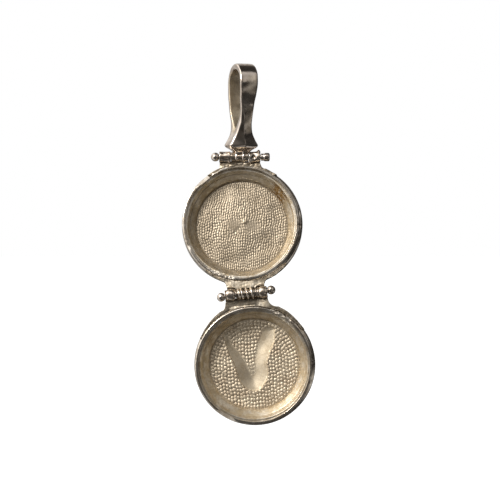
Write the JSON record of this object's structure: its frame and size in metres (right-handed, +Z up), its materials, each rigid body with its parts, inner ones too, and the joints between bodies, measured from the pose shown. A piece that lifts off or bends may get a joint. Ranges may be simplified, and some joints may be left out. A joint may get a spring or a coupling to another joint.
{
  "type": "locket",
  "caption": "Round hinged locket, open, with two shallow pebbled cases, ball-ended hinge pins and a keeled loop bail for a chain.",
  "frame": {"origin": "the point inside the top of the bail's loop where a chain bears", "axes": "+Z up from the cases to the bail's crown, +X to the right seen from the front, and the open cases face -Y"},
  "size_m": [0.0278, 0.0105, 0.0755],
  "materials": {
    "polished_metal": "hand-polished nickel silver with soft wear",
    "matte_metal": "matt pebbled nickel silver, pale champagne",
    "pin_metal": "polished pin wire and turned heads"
  },
  "bodies": {
    "bail": {"bail_loop": "polished_metal", "bail_knuckle": "polished_metal"},
    "upper_case": {"upper_case_band": "polished_metal", "upper_case_floor": "matte_metal", "bail_hinge_lug": "polished_metal", "bail_hinge_knuckle_left": "polished_metal", "bail_hinge_knuckle_right": "polished_metal", "upper_case_lug": "polished_metal", "upper_case_knuckle": "polished_metal"},
    "lower_case": {"lower_case_band": "polished_metal", "lower_case_floor": "matte_metal", "lower_case_lug": "polished_metal", "lower_case_knuckle_left": "polished_metal", "lower_case_knuckle_right": "polished_metal"},
    "bail_pin": {"bail_pin": "pin_metal", "bail_pin_ball": "pin_metal", "bail_pin_cap": "pin_metal"},
    "case_pin": {"case_pin": "pin_metal", "case_pin_ball_left": "pin_metal", "case_pin_ball_right": "pin_metal"}
  },
  "joints": [
    {"name": "bail_hinge", "type": "hinge", "parent": "bail", "child": "upper_case", "pos_m": [-0.0003, 0, -0.01823], "axis": [1, 0, 0], "range_deg": [-55, 70]},
    {"name": "bail_pin_spin", "type": "hinge", "parent": "upper_case", "child": "bail_pin", "pos_m": [-0.0003, 0, -0.01823], "axis": [1, 0, 0], "continuous": true},
    {"name": "lid_hinge", "type": "hinge", "parent": "upper_case", "child": "lower_case", "pos_m": [0.00103, -0.00502, -0.04673], "axis": [-0.996, -0.0156, -0.0884], "range_deg": [-40, 190]},
    {"name": "case_pin_spin", "type": "hinge", "parent": "upper_case", "child": "case_pin", "pos_m": [0.00103, -0.00502, -0.04673], "axis": [0.9891, 0.0256, 0.1451], "continuous": true}
  ]
}
